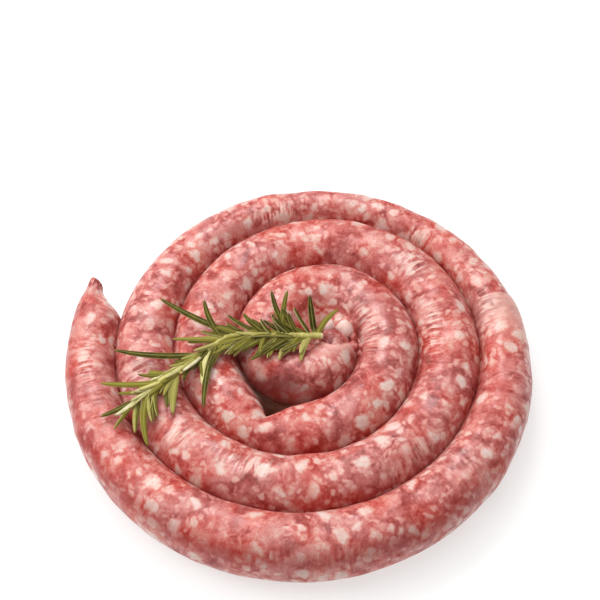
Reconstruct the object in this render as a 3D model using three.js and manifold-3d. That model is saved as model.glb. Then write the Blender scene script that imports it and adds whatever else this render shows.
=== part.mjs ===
import * as THREE from 'three';
import { mergeVertices } from 'three/addons/utils/BufferGeometryUtils.js';
import Module from 'manifold-3d';

// A fresh coarse-ground sausage left in one length and wound flat into a
// spiral, with a sprig of rosemary lying across it.
// Millimetres, +Z up, resting on z = 0. Turns are counted inwards from the
// closed tail, and each section of the sausage stands in the upright plane
// through the middle of the spiral.

// Spiral line of the sausage
const coilMiddle = new THREE.Vector2(5.6, 11.5); // from the part's origin
const tailBearing = 153; // degrees, where turn 0 lies
const outerRadius = 104.3; // at turn 0
const pitch = 26.9; // from one turn to the next
const ovalAmount = 1.74;
const ovalBearing = 67.6; // degrees, the longer way across
const lastTurn = 3.54; // where the torn end begins to round off

// Section of the sausage
const halfWidth = 13.25; // turns press flat against each other
const freeSwell = 0.75; // more on the side that nothing presses
const halfHeight = 14;
const centreHeight = 13;
const squareness = 2.3; // 2 is an ellipse
const innerShare = 0.82; // most of the bend's radius that the inner side takes

// Slack stretch of the outer turn, and the slimmer run up to the tail
const slackTurn = 0.757;
const slackDepth = 5.46;
const slackSpan = 0.219; // turns
const tailSlim = 4.36;
const tailSlimSpan = 0.185; // turns
const slimInHeight = 0.35; // share of the slimming that the height takes

// Closed tail: a cone that ends in a gathered nipple on its outer edge
const tailTurn = 0.0187;
const tailLength = 22;
const nippleRadius = 2.1;
const nippleLength = 3.5;
const nippleRise = 2;

// Sharp fold on the inner side of the third turn, and the gap that the hooked
// end leaves beside it
const creaseTurn = 2.25;
const creaseDepth = 13;
const creaseSpan = 0.028; // turns in which it fades to about a third
const hookGapTurn = 3.27;
const hookGapDepth = 6;
const hookGapSpan = 0.055; // turns

// Low swells that the filling makes along the top: wave length, share of the
// half height, phase and how much the phase turns from side to side
const swells = [
  [47, 0.018, 1.1, 2.0],
  [31, 0.014, 0.3, -1.7],
  [19, 0.01, 4.0, 2.6],
];

// Torn end: the casing stops short and the mince stands out of it, domed and
// knobbly
const lipTurn = 3.455;
const minceShare = 0.92; // of the size of the cased sausage
const domeDepth = 14;
const minceLumps = 15;
const minceRadius = [2.2, 3.6]; // smallest and largest lump
const minceSpread = 0.85; // share of the section that the lumps cover

// Rosemary stem, from its cut end to its growing tip
const stemStart = new THREE.Vector2(3.5, -4); // from the coil's middle
const stemHeading = 179.5; // degrees
const stemBend = 43; // degrees, turned to the left
const stemBendFrom = 31;
const stemBendTo = 46;
const stemLength = 95;
const stemRadius = [1.45, 0.75]; // at the cut end and at the tip
const stemHeight = 29.3;

// Long rosemary needles: place along the stem, spread from its heading (left
// is positive) and length
const longNeedles = [
  [1, -135, 15], [2, -80, 18], [13, -65, 22], [16, -95, 20],
  [25, -30, 18], [36, -35, 38], [42, -95, 20], [42, -30, 22],
  [54, -40, 38], [76, -40, 26], [88, -10, 18], [83, 50, 26],
  [67, 45, 22], [49, 40, 20], [46, 40, 32], [10, 35, 24],
];

// Shorter needles between them, right and left in turn
const shortNeedles = 24;
const shortPlaces = [3, 90]; // first and last along the stem
const shortSpread = [25, 60]; // degrees, least and most
const shortLength = [11, 17];

const needleRise = 35; // degrees, for one straight out on the right at the cut end
const needleHalfWidth = 1.6;
const needleHalfThickness = 0.75;
const needleFlare = 0.35; // share of the spread that it gains from root to tip
const restGap = 0.35; // between the sprig and the sausage

// Fraction of the golden section, which mixes sizes without repeating
const goldenShare = 0.618;

// Facets
const sectionSides = 16;
const ringsPerTurn = 60;
const tailRings = 11;
const domeRings = 5;

const wasm = await Module();
wasm.setup();

const bump = (x, middle, span) => Math.exp(-(((x - middle) / span) ** 2));
const power = (x, p) => Math.sign(x) * Math.abs(x) ** p;
const softMin = (a, b, soft) => (a + b - Math.hypot(a - b, soft)) / 2;
const bearing = (turn) => THREE.MathUtils.degToRad(tailBearing + 360 * turn);

// Length of sausage from turn 0 to a turn
const lineLength = (turn) => 2 * Math.PI * (outerRadius - (pitch * turn) / 2) * turn;

const slimming = (turn) =>
  slackDepth * bump(turn, slackTurn, slackSpan) + tailSlim * bump(turn, 0, tailSlimSpan);

function lineRadius(turn) {
  const oval = Math.cos(2 * (bearing(turn) - THREE.MathUtils.degToRad(ovalBearing)));
  return outerRadius - pitch * turn + ovalAmount * oval - slimming(turn);
}

// Depth of the fold, a V whose flanks fade away along the sausage
const crease = (turn) => creaseDepth * Math.exp(-Math.abs(turn - creaseTurn) / creaseSpan);

// Half sizes of the section at a turn: outwards, inwards and upwards. The inner
// side reaches across to the next turn where that one is slim.
function sectionAt(turn) {
  const slim = slimming(turn);
  const free = 1 - THREE.MathUtils.smoothstep(turn, 0.8, 1);
  const hookGap = hookGapDepth * bump(turn, hookGapTurn, hookGapSpan);
  const pressed = halfWidth - slim;
  return {
    out: pressed + freeSwell * free - hookGap,
    in: softMin(pressed + 2 * slimming(turn + 1), innerShare * lineRadius(turn), 1) - crease(turn),
    height: halfHeight - slimInHeight * slim,
  };
}

// Share by which the top stands higher or lower, side running from -1 to 1
function swellAt(turn, side) {
  const along = 2 * Math.PI * lineLength(turn);
  return swells.reduce(
    (sum, [wave, share, phase, skew]) => sum + share * Math.sin(along / wave + phase + skew * side), 0);
}

// Size and height of the tail's section at a distance from its tip
function tailAt(distance) {
  const full = sectionAt(tailTurn).out;
  const nipple = nippleRadius * Math.sqrt(Math.min(distance / 1.5, 1));
  const cone = THREE.MathUtils.smoothstep(distance, nippleLength, tailLength);
  const tipShare = 1 - THREE.MathUtils.smoothstep(distance, 0, 2 * nippleLength);
  return {
    scale: (nipple + (full - nippleRadius) * cone) / full,
    rise: nippleRise * tipShare,
  };
}

// Shift outwards that keeps the dome over the middle of the torn section, by
// the share of its size that it has lost
function domeShift(lost) {
  const half = sectionAt(lastTurn);
  return (minceShare * lost * (half.out - half.in)) / 2;
}

const stationAt = (turn) => ({ turn, scale: 1, rise: 0, lean: 0, ahead: 0 });

// Sections from the tail's tip to the middle of the torn end
function coilStations() {
  const stations = [];
  for (let i = 0; i < tailRings; i++) {
    const distance = tailLength * (1 - Math.cos((i / tailRings) * Math.PI / 2));
    const turn = tailTurn + distance / (2 * Math.PI * lineRadius(tailTurn));
    const { scale, rise } = tailAt(distance);
    stations.push({ ...stationAt(turn), scale, rise, lean: 1 - scale });
  }
  const bodyFrom = tailTurn + tailLength / (2 * Math.PI * lineRadius(tailTurn));
  const bodyRings = Math.round((lastTurn - bodyFrom) * ringsPerTurn);
  for (let i = 0; i <= bodyRings; i++) {
    const turn = THREE.MathUtils.lerp(bodyFrom, lastTurn, i / bodyRings);
    stations.push({ ...stationAt(turn), scale: turn > lipTurn ? minceShare : 1 });
  }
  const end = sectionAt(lastTurn);
  for (let i = 1; i <= domeRings; i++) {
    const quarter = ((i / domeRings) * Math.PI) / 2;
    stations.push({
      ...stationAt(lastTurn),
      scale: minceShare * Math.cos(quarter),
      lean: domeShift(1 - Math.cos(quarter)) / end.out,
      ahead: domeDepth * Math.sin(quarter),
    });
  }
  return stations;
}

// Outward and forward directions of the spiral at a turn
function directionsAt(turn) {
  const angle = bearing(turn);
  return {
    outward: new THREE.Vector3(Math.cos(angle), Math.sin(angle), 0),
    forward: new THREE.Vector3(-Math.sin(angle), Math.cos(angle), 0),
  };
}

// Point of the skin: a squarish ellipse, flat underneath where it rests
function coilPoint({ turn, scale, rise, lean, ahead }, angle) {
  const half = sectionAt(turn);
  const { outward, forward } = directionsAt(turn);
  const side = power(Math.cos(angle), 2 / squareness);
  const lift = power(Math.sin(angle), 2 / squareness);
  const swell = lift > 0 ? 1 + swellAt(turn, side) : 1;
  const across = (side > 0 ? half.out : half.in) * side * scale + half.out * lean;
  const up = centreHeight + rise + half.height * lift * swell * scale;
  return outward
    .multiplyScalar(lineRadius(turn) + across)
    .addScaledVector(forward, ahead)
    .setZ(Math.max(up, 0));
}

// Closed sphere whose rows are carried to new places, row 0 to the last
function carriedSphere(sides, rows, place) {
  const shell = new THREE.SphereGeometry(1, sides, rows);
  const position = shell.attributes.position;
  for (let i = 0; i < position.count; i++) {
    const row = Math.floor(i / (sides + 1));
    const angle = Math.PI + (2 * Math.PI * (i % (sides + 1))) / sides;
    const point = place(row, angle);
    position.setXYZ(i, point.x, point.y, point.z);
  }
  return shell;
}

function toSolid(geometry) {
  const bare = geometry.clone();
  bare.deleteAttribute('normal');
  bare.deleteAttribute('uv');
  const merged = mergeVertices(bare, 1e-4);
  return new wasm.Manifold(new wasm.Mesh({
    numProp: 3,
    vertProperties: new Float32Array(merged.attributes.position.array),
    triVerts: new Uint32Array(merged.index.array),
  }));
}

function toGeometry(solid) {
  const { vertProperties, triVerts } = solid.getMesh();
  const geometry = new THREE.BufferGeometry();
  geometry.setAttribute('position', new THREE.BufferAttribute(vertProperties, 3));
  geometry.setIndex(new THREE.BufferAttribute(triVerts, 1));
  geometry.computeVertexNormals();
  return geometry;
}

const joined = (solids) => solids.reduce((whole, next) => whole.add(next));

// Lumps of mince spread like a sunflower's seeds over the torn end
function minceSolids() {
  const half = sectionAt(lastTurn);
  const { outward, forward } = directionsAt(lastTurn);
  const golden = Math.PI * (3 - Math.sqrt(5));
  const solids = [];
  for (let i = 0; i < minceLumps; i++) {
    const share = minceSpread * Math.sqrt((i + 0.5) / minceLumps);
    const side = share * Math.cos(i * golden);
    const lift = share * Math.sin(i * golden);
    const size = THREE.MathUtils.lerp(...minceRadius, (i * goldenShare) % 1);
    const reach = (side > 0 ? half.out : half.in) - size;
    const middle = new THREE.Vector3()
      .addScaledVector(outward, lineRadius(lastTurn) + side * reach + domeShift(1 - share))
      .addScaledVector(forward, domeDepth * Math.sqrt(1 - share ** 2) - size * 0.35)
      .setZ(centreHeight + lift * (half.height - size));
    const lump = new THREE.IcosahedronGeometry(size, 1);
    lump.scale(1.15, 0.95, 0.9).rotateZ(i * golden).translate(...middle.toArray());
    solids.push(toSolid(lump));
  }
  return solids;
}

function coilGeometry() {
  const stations = coilStations();
  const skin = carriedSphere(sectionSides, stations.length - 1,
    (row, angle) => coilPoint(stations[row], angle));
  return toGeometry(joined([toSolid(skin), ...minceSolids()]));
}

// Height of the sausage's top under a point, from the coil's middle
function coilTop(x, y) {
  const radius = Math.hypot(x, y);
  const first = THREE.MathUtils.euclideanModulo(
    THREE.MathUtils.radToDeg(Math.atan2(y, x)) - tailBearing, 360) / 360;
  let top = 0;
  for (let turn = first; turn < lastTurn + 0.1; turn++) {
    const half = sectionAt(turn);
    const offset = radius - lineRadius(turn);
    const side = offset / (offset > 0 ? half.out : half.in);
    if (Math.abs(side) < 1) {
      const lift = (1 - Math.abs(side) ** squareness) ** (1 / squareness);
      top = Math.max(top, centreHeight + half.height * lift * (1 + swellAt(turn, side)));
    }
  }
  return top;
}

const stemAngle = (along) => THREE.MathUtils.degToRad(
  stemHeading + stemBend * THREE.MathUtils.smoothstep(along, stemBendFrom, stemBendTo));

// Place on the stem's line, stepped along its heading
function stemPoint(along) {
  const steps = 60;
  const point = new THREE.Vector3(stemStart.x, stemStart.y, stemHeight);
  for (let i = 0; i < steps; i++) {
    const angle = stemAngle((along * (i + 0.5)) / steps);
    point.x += (Math.cos(angle) * along) / steps;
    point.y += (Math.sin(angle) * along) / steps;
  }
  return point;
}

// Round stem, blunt at the cut end and tapering to the tip
function stemSolid() {
  const rows = 20;
  return toSolid(carriedSphere(8, rows, (row, angle) => {
    const share = row / rows;
    const along = stemLength * share;
    const heading = stemAngle(along);
    const blunt = Math.min(1, Math.sqrt(share * 20), Math.sqrt((1 - share) * 10));
    const radius = THREE.MathUtils.lerp(...stemRadius, share) * blunt;
    const point = stemPoint(along);
    point.x += -Math.sin(heading) * -Math.cos(angle) * radius;
    point.y += Math.cos(heading) * -Math.cos(angle) * radius;
    return point.setZ(point.z + Math.sin(angle) * radius);
  }));
}

// Place, spread and length of each short needle, stepped along the stem
function shortNeedle(i) {
  const mix = (i * goldenShare) % 1;
  const side = i % 2 ? 1 : -1;
  return [
    THREE.MathUtils.lerp(...shortPlaces, i / (shortNeedles - 1)),
    side * THREE.MathUtils.lerp(...shortSpread, mix),
    THREE.MathUtils.lerp(...shortLength, mix),
  ];
}

// Needles on the right stand up, less towards the tip, and the others lie flat
const needleLift = (along, spread) =>
  needleRise * THREE.MathUtils.clamp(-spread / 90, 0, 1) * (1 - along / stemLength);

// Narrow blade that leaves the stem, flares outwards and lies on the sausage
// wherever it would dip into it
function needleSolid([along, spread, length]) {
  const rows = 6;
  const root = stemPoint(along);
  const heading = stemAngle(along);
  const rise = THREE.MathUtils.degToRad(needleLift(along, spread));
  const middles = [root.clone()];
  const sideways = [];
  for (let i = 0; i < rows; i++) {
    const share = (i + 0.5) / rows;
    const turned = THREE.MathUtils.degToRad(spread * (1 + needleFlare * (share - 0.5)));
    const run = (Math.cos(rise) * length) / rows;
    const next = middles[i].clone();
    next.x += Math.cos(heading + turned) * run;
    next.y += Math.sin(heading + turned) * run;
    next.z = root.z + Math.sin(rise) * length * ((i + 1) / rows);
    next.z = Math.max(next.z, coilTop(next.x, next.y) + needleHalfThickness + restGap);
    middles.push(next);
    sideways.push(new THREE.Vector2(-Math.sin(heading + turned), Math.cos(heading + turned)));
  }
  sideways.push(sideways[rows - 1]);
  return toSolid(carriedSphere(6, rows, (row, angle) => {
    const share = row / rows;
    const blade = Math.sin(Math.PI * Math.min(0.12 + 0.88 * share, 1)) ** 0.55;
    const end = row === 0 || row === rows ? 0 : blade;
    const across = -Math.cos(angle) * needleHalfWidth * end;
    const point = middles[row].clone();
    point.x += sideways[row].x * across;
    point.y += sideways[row].y * across;
    return point.setZ(point.z + Math.sin(angle) * needleHalfThickness * end);
  }));
}

function sprigGeometry() {
  const shorter = Array.from({ length: shortNeedles }, (_, i) => shortNeedle(i));
  return toGeometry(joined([stemSolid(), ...[...longNeedles, ...shorter].map(needleSolid)]));
}

const rawSausage = new THREE.MeshStandardMaterial({ color: 0xc46864, roughness: 0.38, metalness: 0 });
const rosemaryLeaf = new THREE.MeshStandardMaterial({ color: 0x6b7a2e, roughness: 0.6, metalness: 0 });

const sausageCoil = new THREE.Mesh(coilGeometry(), rawSausage);
sausageCoil.name = 'sausage_coil';

const rosemarySprig = new THREE.Mesh(sprigGeometry(), rosemaryLeaf);
rosemarySprig.name = 'rosemary_sprig';

const coiledSausage = new THREE.Group();
coiledSausage.add(sausageCoil, rosemarySprig);
coiledSausage.position.set(coilMiddle.x, coilMiddle.y, 0);

export default coiledSausage;
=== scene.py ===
import math
import bpy
import numpy as np
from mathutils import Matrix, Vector


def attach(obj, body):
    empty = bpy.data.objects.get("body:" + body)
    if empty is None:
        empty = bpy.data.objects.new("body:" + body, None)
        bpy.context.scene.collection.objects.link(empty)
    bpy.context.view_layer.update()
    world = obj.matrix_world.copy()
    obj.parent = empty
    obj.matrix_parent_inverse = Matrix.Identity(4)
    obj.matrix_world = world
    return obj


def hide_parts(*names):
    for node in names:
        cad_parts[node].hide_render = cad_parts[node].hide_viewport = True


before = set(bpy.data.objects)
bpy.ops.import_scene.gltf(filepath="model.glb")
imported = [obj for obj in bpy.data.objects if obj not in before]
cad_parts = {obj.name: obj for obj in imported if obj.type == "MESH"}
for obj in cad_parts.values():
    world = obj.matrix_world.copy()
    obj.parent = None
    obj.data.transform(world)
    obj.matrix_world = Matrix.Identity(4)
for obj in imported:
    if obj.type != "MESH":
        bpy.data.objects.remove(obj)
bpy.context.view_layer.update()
print("frame loaded:", ", ".join(sorted(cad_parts)))

mm = 0.001  # the shapes are worked out in millimetres and scaled as they become meshes

# The sausage: turns are counted inwards from the pinched tail, and each section stands upright on a ray from
# the middle
coil = {
    "middle": (5.6, 11.5),
    "tailBearing": 153.0,
    "outerRadius": 104.3,
    "pitch": 26.9,
    "ovalAmount": 1.74,
    "ovalBearing": 67.6,
    "lastTurn": 3.54,
    "laps": 4,
    "endMargin": 0.1,  # turns by which the rounded end goes past the last turn
    "halfWidth": 13.25,
    "freeSwell": 0.75,
    "freeFade": (0.8, 1.0),  # turns over which the outer side stops being free
    "halfHeight": 14.0,
    "centreHeight": 13.0,
    "squareness": 2.3,
    "innerShare": 0.82,
    "innerSoft": 1.0,
    "slack": (0.757, 5.46, 0.219),  # turn, depth and span of the slack stretch
    "tailSlim": (0.0, 4.36, 0.185),
    "slimInHeight": 0.35,
    "crease": (2.257, 13.0, 0.028),  # turn, depth and span of the sharp fold
    "notch": (4.5, 0.02),  # how far the top dips at the fold, and over what span
    "hookGap": (3.27, 6.0, 0.055),
    "foldSag": 1.1,
    "holeSag": (0.16, 12.0),  # share of the radius and mm by which the innermost turn sags into the hole
    "holeTurns": (2.6, 2.9),  # where that begins and where it is full
    "swells": ((47, 0.018, 1.1, 2.0), (31, 0.014, 0.3, -1.7), (19, 0.010, 4.0, 2.6)),
    "tailTurn": 0.0187,
    "tailLength": 22.0,
    "nippleRadius": 2.9,
    "nippleLength": 1.5,
    "nippleRound": 2.5,
    "nippleRise": 2.0,
    "nippleRun": 7.0,  # length over which that rise is lost
    "lipTurn": 3.455,  # where the casing is torn off and bare mince begins
    "minceShare": 0.92,
    "domeDepth": 14.0,
}


def smoothStep(x, low, high):  # 3u^2 - 2u^3 between the two ends
    u = np.clip((x - low) / (high - low), 0, 1)
    return u * u * (3 - 2 * u)


def bump(x, middle, height, span):  # bell curve
    return height * np.exp(-(((x - middle) / span) ** 2))


def signedPower(x, power):  # power of the size of x, with the sign of x
    return np.sign(x) * np.abs(x) ** power


def softMin(a, b, soft):  # the lesser of two, rounded where they cross
    return (a + b - np.hypot(a - b, soft)) / 2


def bearing(turn):  # angle of a turn's ray
    return np.radians(coil["tailBearing"] + 360 * turn)


def lineLength(turn):  # length of sausage from turn 0, an even spiral's arc
    return 2 * math.pi * (coil["outerRadius"] - coil["pitch"] * turn / 2) * turn


def turnAtLength(length):  # the inverse of lineLength
    radius, pitch = coil["outerRadius"], coil["pitch"]
    return (radius - np.sqrt(radius**2 - pitch * length / math.pi)) / pitch


def slimming(turn):  # bell curves at the slack stretch and at the tail
    return bump(turn, *coil["slack"]) + bump(turn, *coil["tailSlim"])


def lineRadius(turn):  # even spiral, slightly oval, drawn in where the sausage is slim
    oval = np.cos(2 * (bearing(turn) - math.radians(coil["ovalBearing"])))
    return coil["outerRadius"] - coil["pitch"] * turn + coil["ovalAmount"] * oval - slimming(turn)


# Half sizes outwards, inwards and upwards: the inner side reaches across to a slim next turn, and the fold,
# the hook's gap and the hole in the middle close as the soft meat sags, 0 at the top to 1 where it rests
def sectionHalves(turn, sag=0.0):
    foldTurn, foldDepth, foldSpan = coil["crease"]
    sagShare, sagReach = coil["holeSag"]
    opened = 1 - coil["foldSag"] * sag
    pressed = coil["halfWidth"] - slimming(turn)
    free = 1 - smoothStep(turn, *coil["freeFade"])
    fold = foldDepth * np.exp(-np.abs(turn - foldTurn) / foldSpan) * opened
    outside = pressed + coil["freeSwell"] * free - bump(turn, *coil["hookGap"]) * opened
    reach = (coil["innerShare"] + sagShare * sag) * lineRadius(turn)
    loose = sagReach * sag * smoothStep(turn, *coil["holeTurns"])
    inside = softMin(pressed + 2 * slimming(turn + 1) + loose, reach, coil["innerSoft"]) - fold
    return outside, inside, coil["halfHeight"] - coil["slimInHeight"] * slimming(turn)


def swellAt(turn, side):  # sum of slow waves along the sausage, turned a little from side to side
    along = 2 * math.pi * lineLength(turn)
    return sum(share * np.sin(along / wave + phase + skew * side)
               for wave, share, phase, skew in coil["swells"])


def coilTop(x, y):  # height of the sausage under a point measured from the coil's middle
    radius = np.hypot(x, y)
    firstTurn = np.mod(np.degrees(np.arctan2(y, x)) - coil["tailBearing"], 360) / 360
    top = np.zeros_like(radius)
    for lap in range(coil["laps"]):
        turn = firstTurn + lap
        outside, inside, height = sectionHalves(turn)
        offset = radius - lineRadius(turn)
        side = np.clip(offset / np.where(offset > 0, outside, inside), -1, 1)
        lift = (1 - np.abs(side) ** coil["squareness"]) ** (1 / coil["squareness"])
        here = coil["centreHeight"] + height * lift * (1 + swellAt(turn, side))
        covered = (np.abs(side) < 1) & (turn < coil["lastTurn"] + coil["endMargin"])
        top = np.maximum(top, np.where(covered, here, 0))
    return top


# Smooth noise: random values on a cubic lattice, blended between its eight corners, from -1 to 1
def latticeNoise(points, cell, seed, size=40):
    table = np.random.default_rng(seed).uniform(-1, 1, (size, size, size))
    scaled = points / cell
    corner = np.floor(scaled).astype(int)
    part = scaled - corner
    part = part * part * (3 - 2 * part)
    total = np.zeros(points.shape[:-1])
    for step in np.ndindex(2, 2, 2):
        weight = np.abs(1 - np.array(step) - part).prod(-1)
        index = np.mod(corner + step, size)
        total += weight * table[index[..., 0], index[..., 1], index[..., 2]]
    return total


def lumpy(points, layers):  # sum of noises, each of a cell, a height and a seed
    return sum(height * latticeNoise(points, cell, seed) for cell, height, seed in layers)


# Faces of tubes: quads between neighbouring rows, then a fan of triangles from a pole at either end
def tubeFaces(tubes, rows, columns):
    count = rows * columns
    start = np.arange(tubes)[:, None, None] * count
    row = np.arange(rows - 1)[None, :, None] * columns
    column = np.arange(columns)
    after = np.roll(column, -1)
    quads = np.stack([start + row + column, start + row + after,
                      start + row + columns + after, start + row + columns + column], -1).reshape(-1, 4)
    poles = tubes * count + np.arange(2 * tubes).reshape(tubes, 2)
    first = np.broadcast_to(start[:, 0], (tubes, columns))
    head = np.stack([np.broadcast_to(poles[:, :1], first.shape), first + after, first + column], -1)
    last = first + (rows - 1) * columns
    foot = np.stack([np.broadcast_to(poles[:, 1:], last.shape), last + column, last + after], -1)
    return quads, np.concatenate([head, foot]).reshape(-1, 3)


# Coordinates of one tube's face corners: length along it, and length round it with the seam's end once more
def tubeUv(along, around):
    shape = along.size - 1, around.size - 1
    here, ahead = np.broadcast_to(along[:-1, None], shape), np.broadcast_to(along[1:, None], shape)
    left, right = np.broadcast_to(around[:-1], shape), np.broadcast_to(around[1:], shape)
    quads = np.stack([here, left, here, right, ahead, right, ahead, left], -1).reshape(-1, 2)
    middle = np.full(shape[1], around.mean())
    fans = []
    for end, second, third in ((along[0], around[1:], around[:-1]), (along[-1], around[:-1], around[1:])):
        level = np.full(shape[1], end)
        fans.append(np.stack([level, middle, level, second, level, third], -1).reshape(-1, 2))
    return np.concatenate([quads, *fans])


# Mesh of tubes: points in rows along each tube and columns round it, with the mean of an end row as its pole
def tubeMesh(name, points, attributes=None, uv=None):
    quads, fans = tubeFaces(*points.shape[:3])
    poles = np.stack([points[:, 0].mean(1), points[:, -1].mean(1)], 1).reshape(-1, 3)
    vertices = np.concatenate([points.reshape(-1, 3), poles])
    loops = np.concatenate([quads.ravel(), fans.ravel()])
    starts = np.concatenate([np.arange(len(quads)) * 4, quads.size + np.arange(len(fans)) * 3])
    mesh = bpy.data.meshes.new(name)
    mesh.vertices.add(len(vertices))
    mesh.vertices.foreach_set("co", (vertices * mm).astype(np.float32).ravel())
    mesh.loops.add(len(loops))
    mesh.loops.foreach_set("vertex_index", loops.astype(np.int32))
    mesh.polygons.add(len(starts))
    mesh.polygons.foreach_set("loop_start", starts.astype(np.int32))
    mesh.polygons.foreach_set("use_smooth", np.ones(len(starts), bool))
    for label, values in (attributes or {}).items():
        tips = np.stack([values[:, 0].mean(1), values[:, -1].mean(1)], 1).ravel()
        layer = mesh.attributes.new(label, "FLOAT", "POINT")
        layer.data.foreach_set("value", np.concatenate([values.ravel(), tips]).astype(np.float32))
    if uv is not None:
        layer = mesh.uv_layers.new(name="skin")
        layer.data.foreach_set("uv", tubeUv(*uv).astype(np.float32).ravel())
    mesh.update()
    mesh.validate()
    piece = bpy.data.objects.new(name, mesh)
    bpy.context.scene.collection.objects.link(piece)
    return piece


# Skin of the sausage. Noise is a cell, a height and a seed. A pair is where a fade starts and ends, in mm, in
# turns, or in side and lift, which run from -1 to 1 across the section and up it
skin = {
    "rowStep": 0.74,  # mm along the sausage
    "columns": 56,
    "crowding": 0.3,  # how far the columns move up over the top
    "tailRows": 44,
    "tipGap": 0.02,
    "domeRows": 26,
    "sagLift": (-0.1, 0.6),
    "notchLift": (0, 0.6),
    "notchSide": (-0.1, 0.6),
    "freeTurn": 0.98,
    "freeTail": (6, 14),
    "topRoom": (0.1, 0.75),  # where the relief has room, and on a free side
    "freeRoom": (-0.8, -0.2),
    "lumps": ((9.5, 0.45, 11), (4.6, 0.2, 12)),
    "wrinkleStep": 2.5,
    "wrinkleSkew": 2.5,
    "wrinkleHeight": 0.2,
    "wrinkleWaver": ((7, 2.4, 32),),
    # wrinkled patches that show: turn, angle round the section, and their spans
    "wrinkles": ((1.12, 83, 0.016, 28), (1.195, 79, 0.016, 28), (0.713, 135, 0.014, 30), (1.69, 95, 0.03, 16),
                 (1.6, 116, 0.06, 16), (2.6, 122, 0.07, 20), (0.6, 118, 0.02, 24), (0.863, 118, 0.02, 28),
                 (1.268, 90, 0.03, 16), (0.1, 85, 0.02, 16), (0.04, 135, 0.012, 30)),
    "faintWrinkles": 0.22,
    "faintNoise": ((22, 1, 31),),
    "faintFade": (0.2, 0.6),
    "tailPleats": 13,
    "pleatDepth": 0.55,
    "pleatWaver": ((6, 2, 33),),
    "pleatRun": (9, 30),
    "filmBand": (0.59, 0.03),  # turn and half span of the doubled casing
    "filmHeight": 0.35,
    "filmRag": ((6, 0.12, 35),),
    "filmRise": (-1, 0.4),  # in half spans
    "filmStep": (0.94, 1),
    "filmSide": (-1.2, -0.2),
    "filmLift": (-0.4, 0.4),
    "squeeze": 0.7,  # how far touching turns press into each other
    "squeezeLift": (0.1, 0.6),
    # torn edge of the casing: raggedness, slant on the outside and share of it inside, lead, height, drop
    "lipRag": ((4, 1.0, 34),),
    "lipSlant": 5.8,
    "lipInside": 0.3,
    "lipLead": 0.4,
    "lipHeight": 0.4,
    "lipDrop": 1.0,
    "lipRun": (-2.6, -0.6),
    "tornRun": (0, 0.6),
    "bareLumps": ((6.5, 1.2, 13), (3.2, 0.55, 14)),
}


# Stations along the sausage: tail cone, even body, dome at the torn end
def skinStations():
    tailTurn, tailLength, lastTurn = coil["tailTurn"], coil["tailLength"], coil["lastTurn"]
    perTurn = 2 * math.pi * lineRadius(np.array(tailTurn))
    full = sectionHalves(np.array(tailTurn))[0]
    tailShare = np.linspace(skin["tipGap"], 1, skin["tailRows"], endpoint=False)
    distance = tailLength * (1 - np.cos(tailShare * math.pi / 2))
    nipple = coil["nippleRadius"] * np.sqrt(np.minimum(distance / coil["nippleRound"], 1))
    cone = smoothStep(distance, coil["nippleLength"], tailLength)
    tailScale = (nipple + (full - coil["nippleRadius"]) * cone) / full
    rise = coil["nippleRise"] * (1 - smoothStep(distance, 0, coil["nippleRun"]))
    bodyFrom = lineLength(tailTurn + tailLength / perTurn)
    bodyTo = lineLength(lastTurn)
    bodyRows = int((bodyTo - bodyFrom) / skin["rowStep"])
    bodyTurns = turnAtLength(np.linspace(bodyFrom, bodyTo, bodyRows))
    quarter = np.linspace(0, 1, skin["domeRows"] + 1, endpoint=False)[1:] * math.pi / 2
    endOut, endIn, _ = sectionHalves(np.array(lastTurn))
    domeLean = (1 - np.cos(quarter)) * (endOut - endIn) / (2 * endOut)  # keeps it over the section's middle
    turn = np.concatenate([tailTurn + distance / perTurn, bodyTurns, np.full(quarter.size, lastTurn)])
    scale = np.concatenate([tailScale, np.ones(bodyRows), np.cos(quarter)])
    ahead = np.concatenate([np.zeros(distance.size + bodyRows), coil["domeDepth"] * np.sin(quarter)])
    lift = np.concatenate([rise, np.zeros(bodyRows + quarter.size)])
    lean = np.concatenate([1 - tailScale, np.zeros(bodyRows), domeLean])
    return turn, scale, ahead, lift, lean


# Marks of the skin's place, mostly painted shade: dark painted shade on the walls of the fold and of the gap
# beside it, on the hook's side, on sides that other turns press and on the free outer side of the outer turn,
# and the pale rim where it meets the table
marking = {
    "foldSpans": (2, 5.5),
    "foldLift": (0.4, 0.82),
    "hookLift": (-0.1, 0.3),
    "hookShades": ((-0.04, 1.0, 1.7, (0.3, 0.9)), (0, 0.5, 3, (0.5, 0.97))),  # shift, strength, spans, lift
    "pressedLift": (0.1, 0.8),
    "pressedInside": 0.5,
    "flankShade": (36, 1.0, 24),  # angle round the section, strength and span of the painted shade on the outer side of the outer turn
    "flankShadeTurns": (0.42, 0.52),
    "rimHeight": (1.5, 6.5),
}


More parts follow.
